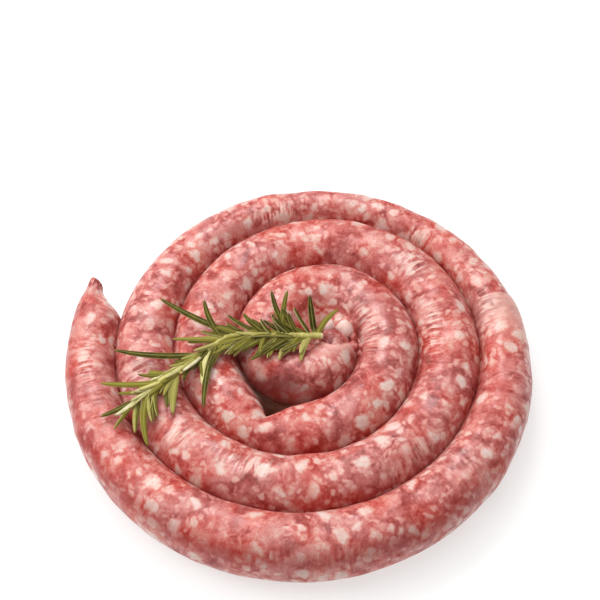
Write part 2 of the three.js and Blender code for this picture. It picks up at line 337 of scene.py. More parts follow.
def skinMarks(turn, side, lift, degrees, free, height):
    foldTurn, _, foldSpan = coil["crease"]
    hookTurn, _, hookSpan = coil["hookGap"]
    near, far = marking["foldSpans"]
    foldWall = 1 - smoothStep(np.abs(turn - foldTurn), near * foldSpan, far * foldSpan)
    foldWall = foldWall * (1 - smoothStep(lift, *marking["foldLift"]))
    hookWall = bump(turn, hookTurn, 1.0, hookSpan) * (1 - smoothStep(lift, *marking["hookLift"]))
    shade = np.zeros_like(height)
    for shift, strength, spans, lifts in marking["hookShades"]:
        here = bump(turn, hookTurn + shift, strength, spans * hookSpan) * (1 - smoothStep(lift, *lifts))
        shade = np.maximum(shade, here)
    # painted shade low on the sides that other turns press, half as strong on the inner side
    pressed = (1 - smoothStep(lift, *marking["pressedLift"])) * (1 - free)
    # painted shade on the free outer side of the outer turn, fading out along the first turn
    flankShade = free * bump(degrees, *marking["flankShade"])
    return {
        "pressed": pressed * np.where(side > 0, 1, marking["pressedInside"]),
        "shade": shade * (side > 0),
        "flankShade": flankShade * (1 - smoothStep(turn, *marking["flankShadeTurns"])),
        # deep: dark painted shade low on the walls of the fold and of the hook's gap
        "deep": np.where(side < 0, foldWall, hookWall),
        "rim": free * (1 - smoothStep(height, *marking["rimHeight"])),
    }


# Point of the skin: a squarish ellipse on the ray of its turn, flat where it rests, pushed out by its relief
def skinPoints():
    turn, scale, ahead, rise, lean = (a[:, None] for a in skinStations())
    around = np.linspace(0, 2 * math.pi, skin["columns"], endpoint=False)[None, :] - math.pi / 2
    angle = around + skin["crowding"] * np.cos(around)
    side = signedPower(np.cos(angle), 2 / coil["squareness"])
    lift = signedPower(np.sin(angle), 2 / coil["squareness"])
    outside, inside, height = sectionHalves(turn, 1 - smoothStep(lift, *skin["sagLift"]))
    swell = np.where(lift > 0, 1 + swellAt(turn, side), 1)
    length = lineLength(turn) + ahead
    dip, dipSpan = coil["notch"]
    notch = dip * np.exp(-np.abs(turn - coil["crease"][0]) / dipSpan) * smoothStep(lift, *skin["notchLift"])
    notch = notch * (1 - smoothStep(side, *skin["notchSide"]))

    def place(relief):
        across = np.where(side > 0, outside, inside) * side * scale + outside * lean + relief * np.cos(angle)
        up = coil["centreHeight"] + rise + height * lift * swell * scale - notch + relief * np.sin(angle)
        radius = lineRadius(turn) + across
        x = np.cos(bearing(turn)) * radius - np.sin(bearing(turn)) * ahead
        y = np.sin(bearing(turn)) * radius + np.cos(bearing(turn)) * ahead
        return np.stack([x, y, np.maximum(up, 0)], -1)

    plain = place(np.zeros_like(angle + turn))
    whole = np.ones_like(plain[..., 0])
    fromTip = (length - lineLength(coil["tailTurn"])) * whole
    # where nothing presses: the outer side of the outer turn and the tail
    free = np.where((side > 0) & (turn < skin["freeTurn"]), 1.0, 0.0)
    free = np.maximum(free, 1 - smoothStep(fromTip, *skin["freeTail"]))
    room = np.maximum(smoothStep(lift, *skin["topRoom"]), free * smoothStep(lift, *skin["freeRoom"]))
    # soft lumps of the filling
    relief = lumpy(plain, skin["lumps"])
    # wrinkles across the sausage, in the patches that show and faintly elsewhere
    degrees = np.degrees(np.arctan2(np.sin(angle), np.cos(angle)))
    wrinkled = skin["faintWrinkles"] * smoothStep(lumpy(plain, skin["faintNoise"]), *skin["faintFade"])
    for patchTurn, patchAngle, turnSpan, angleSpan in skin["wrinkles"]:
        patch = bump(turn, patchTurn, 1.0, turnSpan) * bump(degrees, patchAngle, 1.0, angleSpan)
        wrinkled = np.maximum(wrinkled, patch)
    waver = lumpy(plain, skin["wrinkleWaver"])
    wrinkle = np.sin(2 * math.pi * length / skin["wrinkleStep"] + skin["wrinkleSkew"] * side + waver)
    relief = relief + skin["wrinkleHeight"] * wrinkle * wrinkled
    # casing gathered lengthwise towards the pinched tail
    gathered = 1 - smoothStep(fromTip, *skin["pleatRun"])
    pleat = np.cos(skin["tailPleats"] * angle + lumpy(plain, skin["pleatWaver"]))
    relief = relief * (1 - gathered) + skin["pleatDepth"] * scale * pleat * gathered
    # doubled casing that ends in a step
    bandTurn, bandHalf = skin["filmBand"]
    bandPlace = (turn - bandTurn) / bandHalf + lumpy(plain, skin["filmRag"])
    band = smoothStep(bandPlace, *skin["filmRise"]) * (1 - smoothStep(bandPlace, *skin["filmStep"]))
    band = band * smoothStep(side, *skin["filmSide"]) * smoothStep(lift, *skin["filmLift"])
    relief = relief + skin["filmHeight"] * band
    touching = (1 - smoothStep(lift, *skin["squeezeLift"])) * (1 - free)
    relief = relief * room + skin["squeeze"] * touching
    # torn edge: the casing curls up a little and the bare mince stands lower, all lumps
    slant = np.where(side > 0, side, skin["lipInside"] * side)
    edge = lineLength(coil["lipTurn"]) + skin["lipLead"] + skin["lipSlant"] * slant
    edge = edge + lumpy(plain, skin["lipRag"])
    torn = smoothStep(length - edge, *skin["tornRun"])
    lip = (1 - torn) * smoothStep(length - edge, *skin["lipRun"])
    knobs = lumpy(plain, skin["bareLumps"])
    relief = relief * (1 - torn) + skin["lipHeight"] * lip + torn * (knobs - skin["lipDrop"])
    points = place(relief)
    points[..., :2] += coil["middle"]
    # wrinkled also sets where the casing gets the wrinkles' painted sheen and painted shade
    attributes = {
        "film": band * whole,
        "lip": lip,
        "wrinkled": wrinkled,
        # gathered: darkest in the pleats' troughs, for the painted shade there
        "gathered": gathered * (0.5 - 0.5 * pleat),
        **skinMarks(turn, side, lift, degrees, free, points[..., 2]),
    }
    rowLength = length[:, 0] * mm
    roundLength = np.linspace(0, 2 * math.pi * coil["halfWidth"], skin["columns"] + 1) * mm
    return points, attributes, (rowLength, roundLength)


def makeSkin():
    points, attributes, uv = skinPoints()
    piece = tubeMesh("sausage_skin", points[None, :, ::-1],
                     {label: values[None, :, ::-1] for label, values in attributes.items()}, uv)
    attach(piece, "root")
    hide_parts("sausage_coil")
    return piece


sausageSkin = makeSkin()
print("skin:", len(sausageSkin.data.polygons), "faces")

# Mince showing at the torn end: lumps that show, then more spread like a sunflower's seeds over the dome
mince = {
    # lumps of fat that show: place from the coil's middle, radius and how pale
    "fat": ((14.5, 4, 22.5, 4.5, 1.0), (13, -2, 22, 3.0, 0.5), (7, 5, 25, 3.0, 0.9),
            (12.5, 11, 18.5, 2.2, 0.85), (17, 9, 18.5, 2.4, 0.6)),
    # arcs of lumps round the far side and in the hole: distance out, height and bearing at either end, how
    # many and their radius
    "arcs": ((18.0, (20.5, 17.0), (-10, 50), 5, 3.3), (22.5, (17.0, 15.5), (-15, 35), 7, 3.3),
             (5.0, (13.0, 13.0), (40, 230), 6, 5.0)),
    "arcPale": (0.4, 0.56),
    "lumps": 40,
    "radius": (1.4, 3.2),
    "fewLarge": 1.5,  # power that makes large lumps rarer
    "spread": 0.95,
    "jitter": (-0.3, 0.3),
    "sink": 0.3,  # share of its radius by which a lump sits in the dome
    "stretch": (0.7, 1.3),
    "roughness": ((3.6, 0.75, 41), (1.5, 0.3, 42)),
    "lowest": 0.4,
    "rows": 14,
    "columns": 18,
    "seed": 5,
}


# Lump: a sphere stretched at random and roughened by noise
def mincePoints():
    rng = np.random.default_rng(mince["seed"])
    number = np.arange(mince["lumps"])
    turn = np.array(coil["lastTurn"])
    outside, inside, height = (half * coil["minceShare"] for half in sectionHalves(turn))
    share = mince["spread"] * np.sqrt((number + 0.5) / mince["lumps"])
    goldenAngle = math.pi * (3 - math.sqrt(5))
    spin = number * goldenAngle + rng.uniform(*mince["jitter"], number.size)
    small, large = mince["radius"]
    size = small + (large - small) * rng.uniform(0, 1, number.size) ** mince["fewLarge"]
    side, lift = share * np.cos(spin), share * np.sin(spin)
    across = lineRadius(turn) + side * (np.where(side > 0, outside, inside) - size)
    across = across + (1 - share) * (outside - inside) / 2
    ahead = coil["domeDepth"] * np.sqrt(1 - share**2) - mince["sink"] * size
    up = coil["centreHeight"] + lift * (height - size)
    face = bearing(turn)
    middle = np.stack([np.cos(face) * across - np.sin(face) * ahead,
                       np.sin(face) * across + np.cos(face) * ahead, up], -1)
    arcs = []
    for distance, heights, bearings, count, radius in mince["arcs"]:
        angle = np.radians(np.linspace(*bearings, count))
        pale = rng.uniform(*mince["arcPale"], count)
        arcs.append(np.column_stack([distance * np.cos(angle), distance * np.sin(angle),
                                     np.linspace(*heights, count), np.full(count, radius), pale]))
    shown = np.concatenate([np.array(mince["fat"]), *arcs])
    middle = np.concatenate([shown[:, :3], middle])
    size = np.concatenate([shown[:, 3], size])
    pale = np.concatenate([shown[:, 4], rng.uniform(0, 1, number.size)])
    polar = np.linspace(0, math.pi, mince["rows"] + 2)[1:-1][:, None]
    around = np.linspace(0, 2 * math.pi, mince["columns"], endpoint=False)[None, :]
    ball = np.stack([np.sin(polar) * np.cos(around), np.sin(polar) * np.sin(around),
                     np.cos(polar) * np.ones_like(around)], -1)
    stretch = rng.uniform(*mince["stretch"], (size.size, 1, 1, 3))
    points = ball * stretch * size[:, None, None, None] + middle[:, None, None]
    points = points + ball * lumpy(points, mince["roughness"])[..., None]
    points[..., 2] = np.maximum(points[..., 2], mince["lowest"])
    points[..., :2] += coil["middle"]
    return points, {"pale": np.broadcast_to(pale[:, None, None], points.shape[:3])}


def makeMince():
    points, attributes = mincePoints()
    piece = tubeMesh("torn_end_mince", points[:, :, ::-1],
                     {label: values[:, :, ::-1] for label, values in attributes.items()})
    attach(piece, "root")
    return piece


tornMince = makeMince()
print("mince:", len(tornMince.data.polygons), "faces")

# Rosemary: stem heading, bend and size, and the needles that show
sprig = {
    "start": (3.5, -4.0),
    "heading": 179.5,
    "bend": 43.0,
    "bendSpan": (31.0, 46.0),
    "length": 95.0,
    "cutBack": 1.8,  # how far the cut end stands behind place 0
    "cutFade": (0.4, 1.6),
    "radius": (1.5, 0.85),
    "height": 29.3,
    "steps": 600,
    "stemRows": 220,
    "stemColumns": 16,
    "cutRound": 150,  # how quickly the stem rounds off at its cut end and at its tip
    "tipRound": 10,
    "tipLeast": 0.001,
    "knotStep": 3.1,
    "knotHeight": 0.1,
    "knotPower": 3,
    "bark": ((1.3, 0.12, 51),),
    # long needles that show: place along the stem, spread from its heading with left positive, length and
    # tone from dark to pale
    "needles": (
        (1, -135, 15, 0.35), (2, -80, 18, 0.05), (13, -65, 22, 0.1), (16, -95, 20, 0.25), (25, -30, 18, 0.1),
        (36, -35, 38, 0.1), (42, -95, 20, 0.15), (42, -30, 22, 0.45), (54, -40, 38, 0.1), (76, -40, 26, 0.4),
        (88, -10, 18, 0.15), (83, 50, 26, 0.4), (67, 45, 22, 0.5), (49, 40, 20, 0.75), (46, 40, 32, 0.1),
        (10, 35, 24, 0.1),
    ),
    "rise": 35.0,  # how steeply those on the far side stand up at the cut end, less towards the tip
    "halfWidth": (1.05, 1.35),
    # the others by a rule: how many, then the ranges of place, spread, lift, length, half width and tone
    "fillers": (
        (32, (44, 90), (-16, 16), (2, 14), (9, 15), (0.7, 1.1), (0.3, 1.0)),
        (10, (3, 34), (-14, 14), (5, 15), (9, 14), (0.8, 1.1), (0.1, 0.65)),
        (14, (2, 26), (-60, -20), (12, 36), (9, 15), (0.9, 1.2), (0.0, 0.25)),
        (24, (1, 32), (14, 50), (-5, 4), (11, 19), (0.9, 1.3), (0.0, 0.3)),
        (8, (1, 24), (60, 90), (-4, 10), (9, 14), (0.8, 1.2), (0.25, 0.6)),
        (16, (24, 48), (12, 50), (-3, 5), (10, 17), (0.9, 1.3), (0.05, 0.55)),
        (8, (26, 48), (-38, -12), (0, 9), (9, 16), (0.9, 1.2), (0.1, 0.5)),
        (18, (52, 90), (12, 60), (-4, 4), (9, 18), (0.6, 1.0), (0.1, 0.65)),
        (8, (52, 90), (-55, -14), (-2, 4), (8, 14), (0.8, 1.1), (0.2, 0.6)),
    ),
    "roll": 0.45,  # spread of the turn about its own line, and the share kept by those that show
    "flatRoll": 0.4,
    "droop": (-0.3, 0.2),
    "droopFrom": 0.3,
    "curl": 0.2,
    "restGap": 0.3,
    "seed": 21,
}


def stemAngle(along):  # the heading, turned smoothly through the bend
    return np.radians(sprig["heading"] + sprig["bend"] * smoothStep(along, *sprig["bendSpan"]))


def stemLine(along):  # the heading summed in small steps
    steps = np.linspace(-sprig["cutBack"], sprig["length"], sprig["steps"])
    middle = (steps[1:] + steps[:-1]) / 2
    x = np.concatenate([[0], np.cumsum(np.cos(stemAngle(middle)) * np.diff(steps))])
    y = np.concatenate([[0], np.cumsum(np.sin(stemAngle(middle)) * np.diff(steps))])
    x += sprig["start"][0] - np.interp(0, steps, x)
    y += sprig["start"][1] - np.interp(0, steps, y)
    return np.stack([np.interp(along, steps, x), np.interp(along, steps, y),
                     np.full(np.shape(along), sprig["height"])], -1)


# Stem: a round profile carried along its line, knotted where needles leave it
def makeStem():
    share = np.linspace(0, 1, sprig["stemRows"])
    along = (sprig["length"] + sprig["cutBack"]) * share - sprig["cutBack"]
    around = np.linspace(0, 2 * math.pi, sprig["stemColumns"], endpoint=False)
    heading = stemAngle(along)
    radius = sprig["radius"][0] + (sprig["radius"][1] - sprig["radius"][0]) * share
    tip = np.sqrt((1 - share) * sprig["tipRound"] + sprig["tipLeast"])
    radius = radius * np.minimum(np.minimum(1, np.sqrt(share * sprig["cutRound"])), tip)
    wave = np.maximum(np.sin(along * 2 * math.pi / sprig["knotStep"]), 0)
    knots = 1 + sprig["knotHeight"] * wave ** sprig["knotPower"]
    sideways = np.stack([-np.sin(heading), np.cos(heading), np.zeros_like(heading)], -1)
    ring = (np.cos(around)[None, :, None] * sideways[:, None]
            + np.sin(around)[None, :, None] * np.array([0, 0, 1.0]))
    points = stemLine(along)[:, None] + ring * (radius * knots)[:, None, None]
    points = points + ring * lumpy(points, sprig["bark"])[..., None]
    points[..., :2] += coil["middle"]
    cut = 1 - smoothStep(along + sprig["cutBack"], *sprig["cutFade"])
    cut = np.broadcast_to(cut[:, None], points.shape[:2])
    piece = tubeMesh("rosemary_stem", points[None, :, ::-1], {"cut": cut[None]})
    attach(piece, "root")
    return piece


# Every needle as a row of numbers: the ones that show, then the fillers
def needleTable():
    rng = np.random.default_rng(sprig["seed"])
    place, spread, length, tone = np.array(sprig["needles"], float).T
    lift = sprig["rise"] * np.clip(-spread / 90, 0, 1) * (1 - place / sprig["length"])
    width = rng.uniform(*sprig["halfWidth"], place.size)
    parts = [np.column_stack([place, spread, lift, length, width, tone])]
    for count, *ranges in sprig["fillers"]:
        parts.append(np.column_stack([rng.uniform(low, high, count) for low, high in ranges]))
    table = np.concatenate(parts)
    roll = rng.normal(0, sprig["roll"], len(table))
    roll[:len(sprig["needles"])] *= sprig["flatRoll"]
    droop = rng.uniform(*sprig["droop"], len(table))
    curl = rng.normal(0, sprig["curl"], len(table))
    return table, roll, droop, curl


# One needle: shares of its half width across, of its half thickness up, and of its length along
leaf = {
    "rows": 18,
    "flare": 0.35,
    "widen": 1.15,
    "halfThickness": 0.7,
    "topColumns": 9,
    "crown": 0.75,
    "rolledEdge": 0.1,
    "groove": (0.0, 0.34, 0.2),  # place, depth and span
    "underColumns": 7,
    "underReach": 0.82,
    "hollow": 0.5,
    "midrib": (0.0, 0.4, 0.22),
    "bluntness": 9,
    "taper": 0.3,
    "taperRun": (0.45, 1),
    "root": 0.6,
    "rootRun": (0, 0.25),
    "tipLeast": 0.06,
    "thinnest": 0.4,
}


# Section of a needle: over the top from edge to edge, then back under it
def leafSection():
    over = np.linspace(-1, 1, leaf["topColumns"])
    under = np.linspace(leaf["underReach"], -leaf["underReach"], leaf["underColumns"])
    top = leaf["crown"] * (1 - over**2) - bump(over, *leaf["groove"]) + leaf["rolledEdge"]
    hollow = leaf["hollow"] * (1 - (under / leaf["underReach"]) ** 2)
    bottom = -leaf["crown"] + hollow - bump(under, *leaf["midrib"])
    below = np.concatenate([np.zeros(over.size), np.ones(under.size)])
    return np.concatenate([over, under]), np.concatenate([top, bottom]), below


# Width of a needle along it: parallel sides that taper a little, a narrow root and a blunt tip
def leafWidth(share):
    taper = 1 - leaf["taper"] * smoothStep(share, *leaf["taperRun"])
    root = leaf["root"] + (1 - leaf["root"]) * smoothStep(share, *leaf["rootRun"])
    blade = np.sqrt(1 - share ** leaf["bluntness"]) * taper * root
    return np.maximum(blade, leaf["tipLeast"]) * leaf["widen"]


# Needles: the section carried along flaring lines that are kept above the sausage
def makeNeedles():
    table, roll, droop, curl = needleTable()
    place, spread, lift, length, width, tone = (column[:, None] for column in table.T)
    share = np.linspace(0, 1, leaf["rows"])[None, :]
    heading = stemAngle(place) + np.radians(spread) * (1 + leaf["flare"] * (share - 0.5))
    heading = heading + curl[:, None] * (share - 0.5)
    rise = np.radians(lift) + droop[:, None] * (share - sprig["droopFrom"])
    step = length / (leaf["rows"] - 1)
    walk = np.stack([np.cos(rise) * np.cos(heading), np.cos(rise) * np.sin(heading), np.sin(rise)], -1)
    walk = walk * step[..., None]
    line = stemLine(place[:, 0])[:, None] + np.cumsum(walk, axis=1) - walk[:, :1]
    floor = coilTop(line[..., 0], line[..., 1]) + leaf["halfThickness"] + sprig["restGap"]
    line[..., 2] = np.maximum(line[..., 2], floor)
    tangent = np.gradient(line, axis=1)
    tangent /= np.linalg.norm(tangent, axis=-1, keepdims=True)
    flat = np.stack([-tangent[..., 1], tangent[..., 0], np.zeros_like(heading)], -1)
    flat /= np.linalg.norm(flat, axis=-1, keepdims=True) + 1e-9
    upward = np.cross(tangent, flat)
    turned = roll[:, None, None]
    sideways = flat * np.cos(turned) + upward * np.sin(turned)
    normal = np.cross(tangent, sideways)
    across, raised, below = leafSection()
    blade = leafWidth(share)[..., None]
    thickness = leaf["halfThickness"] * (leaf["thinnest"] + (1 - leaf["thinnest"]) * blade)
    points = (line[:, :, None]
              + sideways[:, :, None] * (across * width[..., None] * blade)[..., None]
              + normal[:, :, None] * (raised * thickness)[..., None])
    points[..., :2] += coil["middle"]
    marks = {"under": below, "along": share[..., None], "across": across, "tone": tone[..., None]}
    shape = points.shape[:3]
    piece = tubeMesh("rosemary_needles", points,
                     {label: np.broadcast_to(values, shape) for label, values in marks.items()})
    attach(piece, "root")
    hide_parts("rosemary_sprig")
    return piece


stem = makeStem()
needles = makeNeedles()
print("rosemary:", len(stem.data.polygons) + len(needles.data.polygons), "faces")


# Node helpers. An input is set to a value or joined to a socket, and a helper's tree is that of its socket
def setInputs(made, inputs):
    for key, value in inputs.items():
        if isinstance(value, bpy.types.NodeSocket):
            made.id_data.links.new(value, made.inputs[key])
        else:
            made.inputs[key].default_value = value


def addNode(tree, kind, inputs=None, **settings):
    made = tree.nodes.new(kind)
    for key, value in settings.items():
        setattr(made, key, value)
    setInputs(made, inputs or {})
    return made


def mathNode(operation, a, b=0.5):
    tree = (a if isinstance(a, bpy.types.NodeSocket) else b).id_data
    return addNode(tree, "ShaderNodeMath", {0: a, 1: b}, operation=operation).outputs[0]


def vectorNode(operation, a, b):
    second = "Scale" if operation == "SCALE" else 1
    return addNode(a.id_data, "ShaderNodeVectorMath", {0: a, second: b}, operation=operation).outputs[0]


def ramp(value, low, high, toLow=0.0, toHigh=1.0):  # a smooth step from one range to another
    inputs = {"Value": value, "From Min": low, "From Max": high, "To Min": toLow, "To Max": toHigh}
    made = addNode(value.id_data, "ShaderNodeMapRange", inputs, interpolation_type="SMOOTHSTEP")
    return made.outputs["Result"]


def mixColour(share, a, b):
    return addNode(share.id_data, "ShaderNodeMix", {0: share, 6: a, 7: b}, data_type="RGBA").outputs[2]


def noise(vector, scale, detail=2.0, distortion=0.0, output="Fac"):
    inputs = {"Vector": vector, "Scale": scale, "Detail": detail, "Distortion": distortion}
    return addNode(vector.id_data, "ShaderNodeTexNoise", inputs).outputs[output]


def attribute(tree, label):
    return addNode(tree, "ShaderNodeAttribute", attribute_name=label).outputs["Fac"]


def tintBy(colour, label, strength, tint):  # moved towards a tint by a mark on the mesh
    return mixColour(mathNode("MULTIPLY", attribute(colour.id_data, label), strength), colour, tint)


def bumpNormal(height, strength, distance):
    inputs = {"Strength": strength, "Distance": distance, "Height": height}
    return addNode(height.id_data, "ShaderNodeBump", inputs).outputs["Normal"]


def useGroup(tree, group, **inputs):
    made = addNode(tree, "ShaderNodeGroup", node_tree=group)
    setInputs(made, inputs)
    return made.outputs


def newGroup(name, inputs, outputs):  # sockets by name and kind
    tree = bpy.data.node_groups.new(name, "ShaderNodeTree")
    for way, sockets in (("INPUT", inputs), ("OUTPUT", outputs)):
        for label, kind in sockets.items():
            tree.interface.new_socket(label, in_out=way, socket_type="NodeSocket" + kind)
    return tree, addNode(tree, "NodeGroupInput"), addNode(tree, "NodeGroupOutput")


def newMaterial(name):
    made = bpy.data.materials.new(name)
    made.use_nodes = True
    return made, made.node_tree, made.node_tree.nodes["Principled BSDF"]


def linear(red, green, blue):  # screen colour, 0 to 255, as the light it stands for
    shares = [c / 255 for c in (red, green, blue)]
    return (*(s / 12.92 if s < 0.04045 else ((s + 0.055) / 1.055) ** 2.4 for s in shares), 1.0)


# Meat: colours as the screen shows them, and noises by patches in a mm. Four numbers are a value's range and
# what it is mapped to
meat = {
    # from the darkest lean to the palest fat
    "tones": ((0.0, 126, 32, 27), (0.2, 164, 64, 57), (0.38, 187, 94, 87), (0.55, 200, 122, 113),
              (0.72, 207, 150, 139), (0.88, 212, 175, 164), (1.0, 215, 192, 183)),
    "shifts": ((0.1, 5.0), (0.36, 2.0)),  # how far chunks are bent, in mm
    "nuggets": ((8.6, 0.85, 1.05), (5.8, 0.6, 0.95), (3.6, 0.4, 0.75)),  # mm, share of cells, strength
    "nuggetRag": (0.34, 0.55),
    "nuggetBall": (0.24, 0.62, 1.0, 0.0),
    "nuggetEdge": (0.0, 0.3),
    "richPatches": 0.045,  # where the fat gathers
    "richChance": (0.35, 0.65, 0.3, -0.3),
    "smears": ((0.1, 0.48, 0.68, 0.5), (0.2, 0.52, 0.7, 0.7)),  # where noise starts and ends, and strength
    "smearDetail": 1.6,
    "strands": ((0.3, 0.12), 0.54, 0.74, 0.5),  # along and round, then as for smears
    "fibres": (1.1, 0.4),
    "fibreTone": (0.3, 0.7, -0.04, 0.04),
    "leanPatches": 0.19,
    "leanTone": (0.3, 0.7, 0.1, 0.4),
    "broadPatches": 0.055,
    "broadTone": (0.3, 0.7, -0.06, 0.1),
    "speckles": (0.85, 3.0),
    "speckleTone": (0.25, 0.75, -0.08, 0.08),
    "fatTone": 0.9,
    "bumpHeight": 0.0003,
    "spread": (0.0035, 0.0012, 0.0009),  # how far light travels under the surface, red furthest
}


# Marbling of coarse mince: lean of uneven tone with soft chunks, strands and grains of fat in it, as one
# colour, with the fat and a fine grain as values
def minceGroup():
    tree, start, end = newGroup("mince marbling", {"Vector": "Vector", "Strand": "Vector"},
                                {"Colour": "Color", "Fat": "Float", "Grain": "Float"})
    place = vectorNode("SCALE", start.outputs["Vector"], 1 / mm)
    strand = vectorNode("SCALE", start.outputs["Strand"], 1 / mm)

    def push(scale, amount):  # a random shift in mm
        centred = vectorNode("SUBTRACT", noise(place, scale, output="Color"), (0.5, 0.5, 0.5))
        return vectorNode("SCALE", centred, amount)

    slowShift, fineShift = meat["shifts"]
    shift = vectorNode("ADD", push(*slowShift), push(*fineShift))
    bent = vectorNode("ADD", place, shift)
    bentStrand = vectorNode("ADD", strand, shift)
    speckle = noise(place, *meat["speckles"])
    rich = noise(place, meat["richPatches"], 1.0)
    ragScale, ragAmount = meat["nuggetRag"]
    ragged = mathNode("SUBTRACT", noise(place, ragScale), 0.5)
    ragged = mathNode("MULTIPLY", ragged, ragAmount)

    def nuggets(size, share, strength):  # round lumps of fat in a share of the cells, faded at their edges
        inputs = {"Vector": vectorNode("SCALE", bent, 1 / size), "Scale": 1.0}
        cells = addNode(tree, "ShaderNodeTexVoronoi", inputs, feature="F1").outputs
        edge = addNode(tree, "ShaderNodeTexVoronoi", inputs, feature="DISTANCE_TO_EDGE").outputs["Distance"]
        chance = addNode(tree, "ShaderNodeSeparateColor", {"Color": cells["Color"]}).outputs["Red"]
        chance = mathNode("ADD", chance, ramp(rich, *meat["richChance"]))
        ball = ramp(mathNode("ADD", cells["Distance"], ragged), *meat["nuggetBall"])
        ball = mathNode("MULTIPLY", ball, ramp(edge, *meat["nuggetEdge"]))
        return mathNode("MULTIPLY", ball, ramp(chance, share / 2, share, strength, 0.0))

    def smear(vector, low, high, strength):  # soft patches where slow noise is high
        return ramp(noise(vector, 1.0, meat["smearDetail"]), low, high, 0.0, strength)

    def drawn(along, across):  # coordinates drawn out across the sausage
        return vectorNode("MULTIPLY", bentStrand, (along, across, across))

    fat = smear(drawn(*meat["strands"][0]), *meat["strands"][1:])
    for scale, *settings in meat["smears"]:
        fat = mathNode("MAXIMUM", fat, smear(vectorNode("SCALE", bent, scale), *settings))
    for settings in meat["nuggets"]:
        fat = mathNode("MAXIMUM", fat, nuggets(*settings))
    slow = ramp(noise(bent, meat["leanPatches"]), *meat["leanTone"])
    broad = ramp(noise(place, meat["broadPatches"], 1.0), *meat["broadTone"])
    lean = mathNode("ADD", slow, broad)
    rest = mathNode("MULTIPLY", lean, mathNode("SUBTRACT", 1.0, fat))
    tone = mathNode("ADD", mathNode("MULTIPLY", fat, meat["fatTone"]), rest)
    tone = mathNode("ADD", tone, ramp(speckle, *meat["speckleTone"]))
    fibre = noise(drawn(*meat["fibres"]), 1.0)
    tone = mathNode("ADD", tone, ramp(fibre, *meat["fibreTone"]))
    colours = addNode(tree, "ShaderNodeValToRGB", {"Fac": tone})
    stops = colours.color_ramp.elements
    for number, (at, *shade) in enumerate(meat["tones"]):
        stop = stops[number] if number < 2 else stops.new(at)
        stop.position = at
        stop.color = linear(*shade)
    setInputs(end, {"Colour": colours.outputs["Color"], "Fat": fat, "Grain": speckle})
    return tree


marbling = minceGroup()


# Casing: colours of its marks with how strongly they show, and ranges as for the meat. Noises here are by
# patches in a metre
casing = {
    "saturationPatches": 55.0,
    "saturation": (0.36, 0.64, 0.9, 1.06),
    "film": linear(224, 182, 170),
    "filmShare": 0.5,
    "rimShare": 0.7,
    "wrinkleScale": (520.0, 70.0, 1.0),  # along and round
    "wrinkleBend": 0.3,
    # pale colour of the painted sheen on the wrinkles' ridges
    "paintedSheen": linear(236, 206, 195),
    "ridges": (0.46, 0.6, 0.0, 0.75),
    # fold: colour of the painted shade in the wrinkles' hollows and in the tail's pleats
    "fold": linear(92, 40, 34),
    "furrowShade": (0.3, 0.44, 0.65, 0.0),
    # pressed: colour of the painted shade where turns press together and on the outer side of the outer turn,
    # then its share
    "pressed": linear(146, 31, 22),
    "pressedShadeShare": 0.6,
    "flankShadeShare": 0.85,
    # marks that tint by themselves: share and colour; shade is painted shade on the hook's side, deep a dark
    # painted shade in the fold's gap
    "lip": (0.7, linear(226, 172, 160)),
    "shade": (0.85, linear(112, 30, 22)),
    "deep": (0.95, linear(48, 18, 0)),
    "pleatShadeShare": 0.15,
    "fatHeight": 0.3,
    "grainHeight": 0.35,
    "bump": 0.5,
    "wetPatches": 120.0,
    "roughness": (0.35, 0.65, 0.32, 0.56),
    "roughGroove": 0.45,
    "coat": (0.4, 0.62, 0.5, 0.1),
    "coatGroove": (0.0, 0.5, 1.0, 0.0),
    "coatRoughness": 0.26,
    "specular": 0.17,
    "subsurface": 0.45,
}


